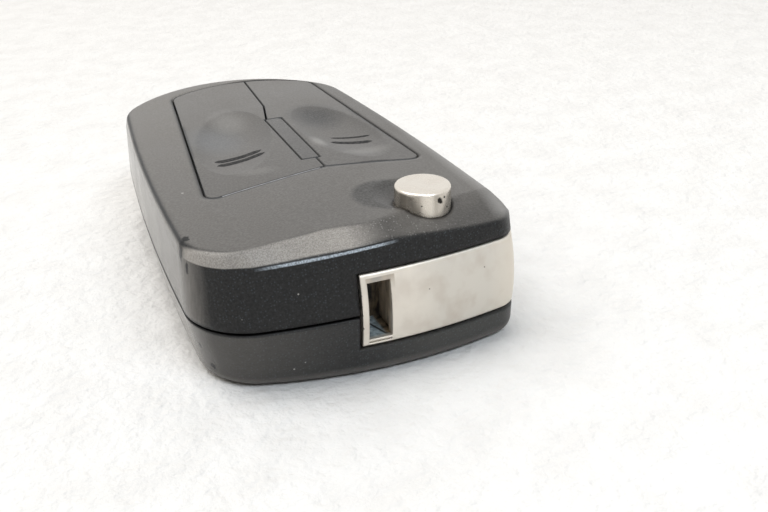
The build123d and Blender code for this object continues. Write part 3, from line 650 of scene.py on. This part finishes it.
# %% Plated metal
def plated(
    name, color, roughness, stain, stain_scale, pit_scale, pit_share, edge, grain_depth, satin,
    marks, side_shade=0.0, pocket=False,
):
    """Plated metal with stains, dark pits and a few larger marks, with painted highlights and painted
    shade where asked; satin below 1 evens its tone.
    """
    material, tree, shader = finish_of(name, color, roughness, metallic=satin)
    links = tree.links
    cloud = noise(tree, stain_scale, 3.0)
    gloss = ramp(tree, cloud, 0.3, 0.75, roughness - 0.04, roughness + 0.08)
    links.new(gloss, shader.inputs["Roughness"])
    tone = mix_color(tree, ramp(tree, cloud, 0.43, 0.75), color, stain)
    tone = mix_color(tree, specks(tree, pit_scale, 0.2, pit_share), tone, (0.12, 0.1, 0.08))
    if pocket:
        # Painted highlights: the hub is paler at its right end and beside the window.
        tone = mix_color(tree, within(tree, ("X", 14.5, 18.5)), tone, (0.735, 0.68, 0.595))
        highlight_beside_window = product(
            tree, within(tree, ("X", 8.5, 4.5)), ramp(tree, cloud, 0.2, 0.6, 1.0, 0.5)
        )
        tone = mix_color(tree, highlight_beside_window, tone, (0.775, 0.72, 0.64))
    # Painted shade: darker streaks on the upright sides.
    if side_shade:
        streaks = ramp(tree, noise(tree, 520.0, 2.0, upright_lines), 0.4, 0.6, 0.15, 1.0)
        side_shade_streaks = product(tree, axis_of(tree, "Normal", "Z", 0.6, 0.2), streaks)
        tone = mix_color(tree, weaker(tree, side_shade_streaks, side_shade), tone, (0.2, 0.18, 0.15))
    for center, radius in marks:
        tone = mix_color(tree, spot(tree, center, radius, 1.3), tone, (0.02, 0.018, 0.015))
    if pocket:
        inside, grime = pocket_grime_and_light(tree)
        tone = mix_color(tree, inside, tone, grime)
        links.new(ramp(tree, inside, 0.0, 1.0, satin, 0.0), shader.inputs["Metallic"])
    links.new(tone, shader.inputs["Base Color"])
    heights = ((noise(tree, 6000.0, 2.0), grain_depth), (cloud, 0.006 * mm))
    bumps(tree, shader, heights, softened(tree, edge))
    return material


# %% [markdown]
# ## Hub
# The hub is a die casting plated in satin nickel: warm and nearly even, with faint stains where
# fingers touch it. A full metal would mirror the room too darkly here, so it is only partly
# metallic, which evens its tone.

# %% Hub nickel
hub_marks = (
    ((-1.5, -33.2, 10.6), 0.22),
    ((-1.5, -33.3, 9.3), 0.16),
    ((-1.5, -33.4, 8.3), 0.22),
    ((-1.4, -33.4, 6.6), 0.16),
)
hub_nickel = plated(
    "hub_nickel",
    color=(0.641, 0.609, 0.55),
    roughness=0.42,
    stain=(0.535, 0.474, 0.41),
    stain_scale=330.0,
    pit_scale=1500.0,
    pit_share=0.015,
    edge=0.25 * mm,
    grain_depth=0.003 * mm,
    satin=0.7,
    marks=hub_marks,
    pocket=True,
)
dress(hub_nickel, "blade_hub")

# %% [markdown]
# ## Release button
# The button is polished chrome, smoother than the hub. It has tiny pits, five dark chips in front and
# darker streaks down its side, which are painted shade that dims its mirror of the floor.

# %% Button chrome
button_marks = (
    ((9.55, -29.5, 18.4), 0.34),
    ((9.75, -29.5, 18.1), 0.3),
    ((10.25, -29.3, 18.55), 0.16),
    ((7.5, -29.2, 17.9), 0.1),
    ((10.7, -29.0, 17.2), 0.16),
)
button_chrome = plated(
    "button_chrome",
    color=(0.75, 0.7, 0.625),
    roughness=0.24,
    stain=(0.71, 0.65, 0.575),
    stain_scale=420.0,
    pit_scale=1900.0,
    pit_share=0.012,
    edge=0.3 * mm,
    grain_depth=0.0012 * mm,
    satin=0.85,
    marks=button_marks,
    side_shade=0.68,
)
dress(button_chrome, "release_button")

# %% [markdown]
# ## Steel
# The blade shows the lines of the cutter that milled its track, and the wire and sheet pieces those of
# the tools that drew and rolled them. Modelled lines would need very many small faces. Noise that is
# stretched along one direction gives them as bumps and as changes of gloss.

# %% Steel blade and small steel pieces
def drawn_steel(name, color, roughness, stretch, depth):
    """Steel with fine lines along one direction; stretch is small along the lines."""
    material, tree, shader = finish_of(name, color, roughness, metallic=1.0)
    lines = noise(tree, 5000.0, 2.0, stretch)
    gloss = ramp(tree, lines, 0.3, 0.7, roughness - 0.06, roughness + 0.1)
    tree.links.new(gloss, shader.inputs["Roughness"])
    cloud = ramp(tree, noise(tree, 300.0, 3.0), 0.35, 0.75)
    tree.links.new(mix_color(tree, cloud, color, shade(color, 0.82)), shader.inputs["Base Color"])
    bumps(tree, shader, ((lines, depth),), softened(tree, 0.1 * mm, samples=6))
    return material


blade_steel = drawn_steel("blade_steel", (0.62, 0.61, 0.59), 0.3, (1.0, 0.06, 1.0), 0.006 * mm)
wire_steel = drawn_steel("wire_steel", (0.45, 0.45, 0.46), 0.35, (0.3, 0.3, 1.0), 0.004 * mm)
sheet_steel = drawn_steel("sheet_steel", (0.66, 0.65, 0.63), 0.26, (1.0, 0.1, 1.0), 0.003 * mm)
dress(blade_steel, "key_blade")
dress(wire_steel, "flip_spring", "blade_pin")
dress(sheet_steel, "coin_cell", "positive_contact", "negative_contact")
dress(sheet_steel, "lock_switch", "unlock_switch", "resonator")

# %% [markdown]
# ## Inside pieces
# Nothing inside shows while the housing is shut, yet each piece keeps an honest finish, because
# the model may be opened up in another scene.

# %% Electronics and rubber
def moulded(name, color, roughness, scale, depth):
    """A plain moulded or coated piece with uneven colour and a fine surface."""
    material, tree, shader = finish_of(name, color, roughness)
    cloud = noise(tree, scale, 3.0)
    lighter = tuple(min(1.0, c * 1.5 + 0.005) for c in color)
    uneven = mix_color(tree, ramp(tree, cloud, 0.35, 0.7), color, lighter)
    tree.links.new(uneven, shader.inputs["Base Color"])
    gloss = ramp(tree, cloud, 0.3, 0.7, roughness - 0.05, roughness + 0.05)
    tree.links.new(gloss, shader.inputs["Roughness"])
    bumps(tree, shader, ((noise(tree, scale * 12.0, 1.0), depth),))
    return material


plungers = ("lock_switch_plunger", "unlock_switch_plunger")
inner_finishes = (
    ("board_green", (0.012, 0.085, 0.035), 0.35, 600.0, 0.005, ("circuit_board",)),
    ("chip_black", (0.02, 0.02, 0.021), 0.5, 900.0, 0.004, ("transmitter_chip",)),
    ("plunger_black", (0.025, 0.025, 0.025), 0.45, 900.0, 0.003, plungers),
    ("pad_rubber", (0.035, 0.036, 0.038), 0.8, 800.0, 0.012, ("lock_key_pad", "unlock_key_pad")),
    ("lamp_resin", (0.7, 0.68, 0.55), 0.2, 900.0, 0.002, ("indicator_lamp",)),
    ("fired_ceramic", (0.36, 0.25, 0.16), 0.5, 1500.0, 0.003, ("small_components",)),
    ("coil_enamel", (0.42, 0.15, 0.06), 0.3, 700.0, 0.008, ("transponder_coil",)),
)
for finish_name, color, roughness, scale, depth_in_mm, dressed in inner_finishes:
    dress(moulded(finish_name, color, roughness, scale, depth_in_mm * mm), *dressed)

# %% [markdown]
# ## Marks engraved on the keys
# Each key carries two worn strokes. They are shallow grooves up to about one millimetre wide, so
# each is laid on as a thin dark strip that follows the key's own surface. The surface height is
# found by casting a ray down onto the CAD key, which keeps the strips on the dish whatever its shape.

# %% Stroke ink and surface height
stroke_ink, ink_tree, ink_shader = finish_of("stroke_ink", (0.035, 0.035, 0.036), 0.8, ior=1.2)
ink_cloud = noise(ink_tree, 2600.0, 2.0)
ink_dust = ramp(ink_tree, ink_cloud, 0.45, 0.7)
ink_color = mix_color(ink_tree, ink_dust, (0.03, 0.03, 0.031), (0.075, 0.073, 0.07))
ink_tree.links.new(ink_color, ink_shader.inputs["Base Color"])
bumps(ink_tree, ink_shader, ((ink_cloud, 0.01 * mm),))


def height_on(name, x, y):
    """Height of a CAD node's top surface at one place."""
    from_above = Vector((x, y, 50.0 * mm))
    hit, where, _, _ = nodes[name].ray_cast(from_above, Vector((0, 0, -1)))
    return where.z if hit else None


print("height of the left finger dish in mm:", round(height_on("lock_key", -6.2 * mm, 2.4 * mm) / mm, 2))

# %% Corners along one stroke
stroke_steps = 16
round_ends = 8.0
narrowest = 0.05
sides = (-1.0, -0.5, 0.0, 0.5, 1.0)
middle_lift, edge_lift = 0.02 * mm, 0.004 * mm


def stroke_rows(mesh, stroke, key, width):
    """Rows of corners across one stroke, lying on a key and narrower at both ends."""
    start, end = (Vector(place_in_mm) * mm for place_in_mm in stroke)
    along = (end - start).normalized()
    across = Vector((-along.y, along.x))
    rows = []
    for step in range(stroke_steps + 1):
        share = step / stroke_steps
        taper = min(1.0, round_ends * share, round_ends * (1.0 - share)) ** 0.5
        middle = start.lerp(end, share)
        row = []
        for side in sides:
            corner = middle + across * side * width * 0.5 * max(taper, narrowest)
            lift = middle_lift * (1.0 - abs(side)) + edge_lift
            height = height_on(key, corner.x, corner.y) + lift
            row.append(mesh.verts.new((corner.x, corner.y, height)))
        rows.append(row)
    return rows


# %% Engraved strokes
def engraved(name, strokes, key, body, width):
    """Strips with rounded ends that lie on a key, along strokes given as start and end in mm."""
    mesh = bmesh.new()
    for stroke in strokes:
        rows = stroke_rows(mesh, stroke, key, width)
        for before, after in zip(rows, rows[1:]):
            for number in range(len(sides) - 1):
                around = (before[number], before[number + 1], after[number + 1], after[number])
                mesh.faces.new(around)
    data = bpy.data.meshes.new(name)
    bmesh.ops.recalc_face_normals(mesh, faces=mesh.faces)
    mesh.to_mesh(data)
    mesh.free()
    piece = bpy.data.objects.new(name, data)
    bpy.context.scene.collection.objects.link(piece)
    data.materials.append(stroke_ink)
    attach(piece, body)
    print(name, "has", len(data.polygons), "faces")
    return piece


left_strokes = (((-9.87, -3.2), (-3.17, -1.45)), ((-9.91, -4.78), (-3.11, -2.96)))
right_strokes = (((6.17, -2.33), (11.53, -4.12)),)
faint_strokes = (((6.83, -0.27), (12.08, -1.86)),)
engraved("lock_strokes", left_strokes, "lock_key", "left_key", 0.00115)
engraved("unlock_stroke", right_strokes, "unlock_key", "right_key", 0.0011)
engraved("unlock_stroke_worn", faint_strokes, "unlock_key", "right_key", 0.0006)

# %% [markdown]
# ## Light line in a seam
# The seam in front of the left key reads as a light line where the others are dark. A narrow pale strip
# of painted light lies just below the surface in that seam, and stays with the housing.

# %% Flat pieces
def sheet_of(name, corners, faces, material):
    """A new piece from corners in metres and faces, with its material."""
    data = bpy.data.meshes.new(name)
    data.from_pydata(corners, [], faces)
    data.materials.append(material)
    piece = bpy.data.objects.new(name, data)
    bpy.context.scene.collection.objects.link(piece)
    print(name, "has", len(data.polygons), "faces")
    return piece


# %% Seam light strip
# Painted light: a pale bluish grey for the light line in the seam.
seam_light_grey, seam_light_tree, seam_light_shader = finish_of("seam_light_strip", (0.3, 0.3, 0.31), 0.9)
seam_light_cloud = ramp(seam_light_tree, noise(seam_light_tree, 1600.0, 3.0), 0.35, 0.65)
seam_light_color = mix_color(seam_light_tree, seam_light_cloud, (0.36, 0.37, 0.39), (0.22, 0.22, 0.23))
seam_light_tree.links.new(seam_light_color, seam_light_shader.inputs["Base Color"])
bumps(seam_light_tree, seam_light_shader, ((seam_light_cloud, 0.02 * mm),))


def seam_strip(name, start, end, width, depth):
    """A strip along a straight seam, given in mm, that lies a little below the housing's surface."""
    start, end = Vector(start) * mm, Vector(end) * mm
    across = Vector((start.y - end.y, end.x - start.x)).normalized() * width * 0.5
    onto_shell = across * -6.0
    corners = []
    steps = 12
    for step in range(steps + 1):
        middle = start.lerp(end, step / steps)
        shell_height = height_on("top_shell", middle.x + onto_shell.x, middle.y + onto_shell.y)
        for side in (-1.0, 1.0):
            corner = middle + across * side
            corners.append((corner.x, corner.y, shell_height - depth))
    faces = [(2 * n, 2 * n + 1, 2 * n + 3, 2 * n + 2) for n in range(steps)]
    piece = sheet_of(name, corners, faces, seam_light_grey)
    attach(piece, "housing")
    return piece


seam_strip("seam_light_strip", (-11.7, -15.19), (1.5, -11.75), 0.00024, 0.00003)

# %% [markdown]
# ## Grime and shadow round the button
# Dirt has packed into the narrow gap round the button, and at the right the gap is near black, a painted
# shadow beside the button. A thin ring fills the gap just below the shell's surface and stays behind when
# the button is pressed, so its inner edge leaves the button free.

# %% Grime colour
grime_and_shadow_brown, grime_tree, grime_shader = finish_of("gap_grime_and_shadow", (0.07, 0.06, 0.05), 0.85)
grime_cloud = ramp(grime_tree, noise(grime_tree, 2400.0, 3.0), 0.38, 0.62)
grime_and_shadow_color = mix_color(grime_tree, grime_cloud, (0.035, 0.03, 0.026), (0.16, 0.145, 0.125))
# Painted shadow: the gap is near black at the right of the button.
shadow_on_right = within(grime_tree, ("X", 9.5, 10.5))
grime_and_shadow_color = mix_color(grime_tree, shadow_on_right, grime_and_shadow_color, (0.008, 0.007, 0.006))
grime_tree.links.new(grime_and_shadow_color, grime_shader.inputs["Base Color"])
bumps(grime_tree, grime_shader, ((grime_cloud, 0.03 * mm),))

# %% Grime ring
button_middle = Vector((8.9, -26.3)) * mm
ring_radii = (3.30 * mm, 3.42 * mm)
shell_radius = 3.55 * mm
ring_depth = 0.04 * mm
ring_steps = 72
ring_corners, ring_faces = [], []
for step in range(ring_steps):
    angle = 2.0 * pi * step / ring_steps
    outward = Vector((cos(angle), sin(angle)))
    beside = button_middle + outward * shell_radius
    level = height_on("top_shell", beside.x, beside.y) - ring_depth
    for radius in ring_radii:
        corner = button_middle + outward * radius
        ring_corners.append((corner.x, corner.y, level))
    after = (step + 1) % ring_steps
    ring_faces.append((2 * step, 2 * step + 1, 2 * after + 1, 2 * after))
grime_and_shadow_ring = sheet_of("button_grime_and_shadow", ring_corners, ring_faces, grime_and_shadow_brown)
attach(grime_and_shadow_ring, "housing")

# %% [markdown]
# ## Coil spring
# Pressing the release button squeezes the coil spring under it, and the CAD model flattens the coil
# towards its lower end as the button goes down. This script makes a copy of the CAD coil with a mesh of
# its own, which moves with the flip blade, hides the CAD coil and measures the corners of its box;
# nothing here flattens the copy.

# %% Coil spring
coil_mesh = nodes["flip_spring"].data.copy()
coil = bpy.data.objects.new("coil_spring", coil_mesh)
bpy.context.scene.collection.objects.link(coil)
coil.matrix_world = nodes["flip_spring"].matrix_world.copy()
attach(coil, "flip_blade")
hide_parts("flip_spring")
coil_low, coil_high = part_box("flip_spring")
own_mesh(coil)

# %% [markdown]
# ## Foam sheet
# The key lies on a nearly white foam sheet with a soft, uneven skin. One wide rectangle with two sizes
# of gentle bumps gives that without drawing attention from the key, and reaches past the picture on
# every side. It lies a twentieth of a millimetre under the key, so the two surfaces never coincide.

# %% Foam floor
foam, foam_tree, foam_shader = finish_of("foam", (0.93, 0.92, 0.9), 0.75)
foam_cloud = ramp(foam_tree, noise(foam_tree, 160.0, 5.0), 0.4, 0.65)
foam_color = mix_color(foam_tree, foam_cloud, (0.935, 0.93, 0.92), (0.885, 0.878, 0.867))
foam_tree.links.new(foam_color, foam_shader.inputs["Base Color"])
foam_swells, foam_pores = noise(foam_tree, 220.0, 4.0), noise(foam_tree, 700.0, 3.0)
bumps(foam_tree, foam_shader, ((foam_swells, 0.5 * mm), (foam_pores, 0.4 * mm)))

floor_left, floor_right, floor_front, floor_back = -0.6, 0.6, -0.5, 0.9
floor_level = -0.05 * mm
floor_corners = [
    (floor_left, floor_front, floor_level),
    (floor_right, floor_front, floor_level),
    (floor_right, floor_back, floor_level),
    (floor_left, floor_back, floor_level),
]
floor = sheet_of("foam_sheet", floor_corners, [(0, 1, 2, 3)], foam)

# %% [markdown]
# ## Lamps
# A large soft panel overhead lights the foam and the front bevel, and a small cool window in front
# gives the thin blue line under the bevel. Area lamps are used for both, because their size sets how
# soft the shadows and highlights are.

# %% Lamps
def panel(name, where, aim, size, strength, color):
    """A rectangular lamp; strength is the brightness of its face, where 1 is white."""
    lamp = bpy.data.lights.new(name, "AREA")
    lamp.shape = "RECTANGLE"
    lamp.size, lamp.size_y = size
    lamp.energy = strength * pi * size[0] * size[1]
    lamp.color = color
    placed = bpy.data.objects.new(name, lamp)
    bpy.context.scene.collection.objects.link(placed)
    toward_key = (Vector(aim) - Vector(where)).to_track_quat("-Z", "Y")
    placed.matrix_world = Matrix.Translation(where) @ toward_key.to_matrix().to_4x4()
    print(name, "gives", round(lamp.energy, 2), "watts")
    return placed


panel(
    "sky_panel",
    where=(-0.3, 0.15, 0.88),
    aim=(0.0, 0.0, 0.01),
    size=(0.6, 0.84),
    strength=3.35,
    color=(1.0, 0.985, 0.965),
)
panel(
    "cool_window",
    where=(0.08, -0.42, 0.5),
    aim=(0.0, -0.02, 0.012),
    size=(0.3, 0.16),
    strength=11.0,
    color=(0.86, 0.93, 1.0),
)

# %% [markdown]
# ## Room
# The world is a warm room, brighter behind the key than in front of it, so the upright front face
# stays deep. A picture of a room could light the key as well, but a few ramps over the direction need
# no picture, and each of them can be tuned alone.

# %% Room light
world = bpy.data.worlds.new("room")
bpy.context.scene.world = world
world.use_nodes = True
sky = world.node_tree
sky.nodes.clear()
split_sky = node(sky, "ShaderNodeSeparateXYZ")
sky.links.new(node(sky, "ShaderNodeTexCoord").outputs["Generated"], split_sky.inputs[0])
sky_side = split_sky.outputs
front_to_back = ramp(sky, sky_side["Y"], -0.3, 0.15, 0.05, 0.9)
brighter_middle = ramp(sky, sky_side["Z"], 0.43, 0.52, 1.0, 1.35)
darker_above = ramp(sky, sky_side["Z"], 0.62, 0.8, 1.0, 0.4)
upper_right = product(sky, ramp(sky, sky_side["X"], 0.42, 0.56), ramp(sky, sky_side["Z"], 0.4, 0.6))
darker_right = ramp(sky, upper_right, 0.0, 1.0, 1.0, 0.5)
room = node(sky, "ShaderNodeBackground", {"Color": (1.0, 0.95, 0.88, 1.0)})
room_light = product(sky, front_to_back, brighter_middle, darker_above, darker_right)
sky.links.new(room_light, room.inputs["Strength"])
print("room light nodes:", len(sky.nodes))

# %% [markdown]
# ## White background
# Seen straight, in a mirror or through glass, the world is plain white, so that metal shows the same
# pale surroundings that the picture has. The Light Path node tells such rays from those that light
# the key, and the larger of its three answers chooses between white and the room.

# %% White background
white = node(sky, "ShaderNodeBackground", {"Color": (1.0, 1.0, 1.0, 1.0), "Strength": 1.0})
light_path = node(sky, "ShaderNodeLightPath")
plainly_seen = light_path.outputs["Is Camera Ray"]
for ray in ("Is Glossy Ray", "Is Transmission Ray"):
    either = node(sky, "ShaderNodeMath", operation="MAXIMUM")
    sky.links.new(plainly_seen, either.inputs[0])
    sky.links.new(light_path.outputs[ray], either.inputs[1])
    plainly_seen = either.outputs[0]
chosen = node(sky, "ShaderNodeMixShader")
sky.links.new(plainly_seen, chosen.inputs["Fac"])
sky.links.new(room.outputs[0], chosen.inputs[1])
sky.links.new(white.outputs[0], chosen.inputs[2])
sky.links.new(chosen.outputs[0], node(sky, "ShaderNodeOutputWorld").inputs["Surface"])
print("world nodes:", len(sky.nodes))

# %% [markdown]
# ## Camera
# The camera stands low at the front left, as in the photograph. Its place and turn were worked
# out from the lines of the key: where it stands, what it looks along, and which way is up.

# %% Camera
camera_place = Vector((-31.96, -116.69, 60.29)) * mm
looks_along = Vector((0.33013, 0.82923, -0.451))
camera_up = Vector((0.18654, 0.41105, 0.89232))
lens_data = bpy.data.cameras.new("camera")
lens_data.lens = 44.3
lens_data.sensor_width = 36.0
lens_data.clip_start = 5.0 * mm
camera = bpy.data.objects.new("camera", lens_data)
bpy.context.scene.collection.objects.link(camera)
sideways = looks_along.cross(camera_up).normalized()
camera_up = sideways.cross(looks_along).normalized()
turn = Matrix((sideways, camera_up, -looks_along.normalized())).transposed().to_4x4()
camera.matrix_world = Matrix.Translation(camera_place) @ turn
bpy.context.scene.camera = camera
bpy.context.scene.view_settings.view_transform = "Standard"
print("camera is", round(camera_place.length / mm), "mm from the middle of the key")
